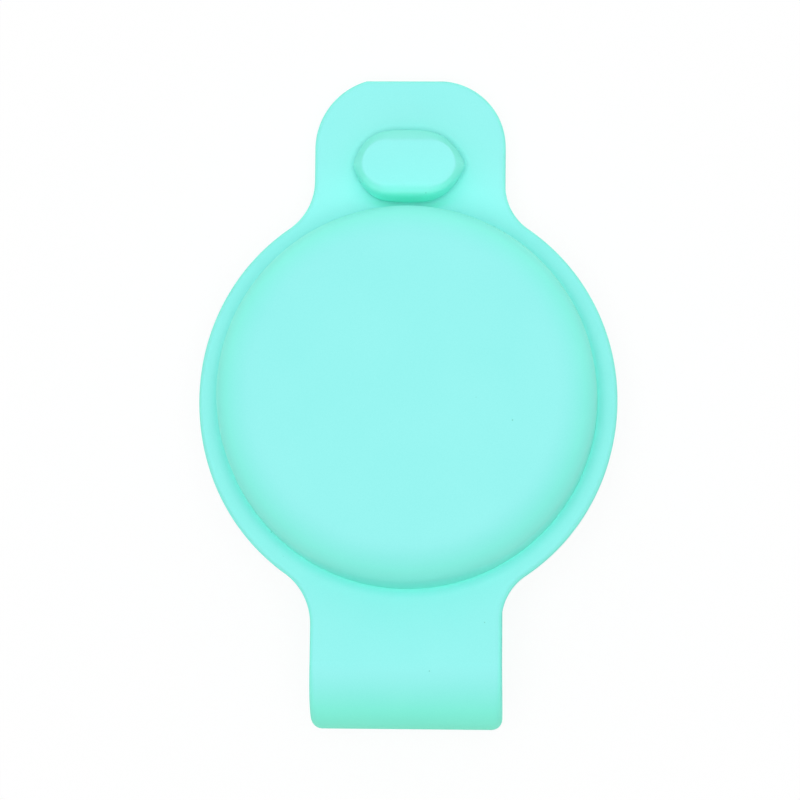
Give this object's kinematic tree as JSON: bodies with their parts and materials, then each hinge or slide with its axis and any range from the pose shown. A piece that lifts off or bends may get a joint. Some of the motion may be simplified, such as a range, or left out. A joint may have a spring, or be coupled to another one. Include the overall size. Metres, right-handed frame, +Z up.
{
  "type": "tracker tag holder",
  "caption": "Soft silicone holder for a round tracker tag: domed pouch with flange, a strap that folds behind it into a loop, and an oval stud that buttons through the top tab.",
  "frame": {"origin": "middle of the bounding box's bottom, on the surface that the holder lies on", "axes": "+Z up out of the surface, +Y from the fold towards the buttoned tab, +X across the strap"},
  "size_m": [0.0388, 0.0603, 0.0183],
  "materials": {
    "mint_silicone": "matte moulded silicone",
    "white_plastic": "glossy moulded plastic",
    "stainless_steel": "polished stainless steel",
    "black_rubber": "matte gasket",
    "nickel_steel": "satin nickel plate",
    "gilt_contact": "gold-flashed spring metal",
    "green_board": "solder mask over fibreglass",
    "black_chip": "moulded epoxy",
    "brass_plate": "rolled brass",
    "white_ceramic": "fired ceramic"
  },
  "bodies": {
    "strap": {"back_strap": "mint_silicone", "fold_band": "mint_silicone", "button_stud": "mint_silicone"},
    "pouch": {"pouch_body": "mint_silicone", "tag_front_shell": "white_plastic", "tag_back_ring": "white_plastic", "cover_seal": "black_rubber", "coin_cell": "nickel_steel", "battery_contacts": "gilt_contact", "circuit_board": "green_board", "board_components": "black_chip", "sounder_plate": "brass_plate", "sounder_ceramic": "white_ceramic", "sounder_contacts": "gilt_contact"},
    "battery_cover": {"tag_battery_cover": "stainless_steel"}
  },
  "joints": [
    {"name": "fold_hinge", "type": "hinge", "parent": "strap", "child": "pouch", "pos_m": [0, -0.02915, 0.006], "axis": [1, 0, 0], "range_deg": [0, 150], "deforming": ["fold_band", "button_stud"]},
    {"name": "cover_twist", "type": "hinge", "parent": "pouch", "child": "battery_cover", "pos_m": [0, 0.00066, 0.00818], "axis": [0, -0.1549, -0.9879], "range_deg": [0, 30]}
  ]
}
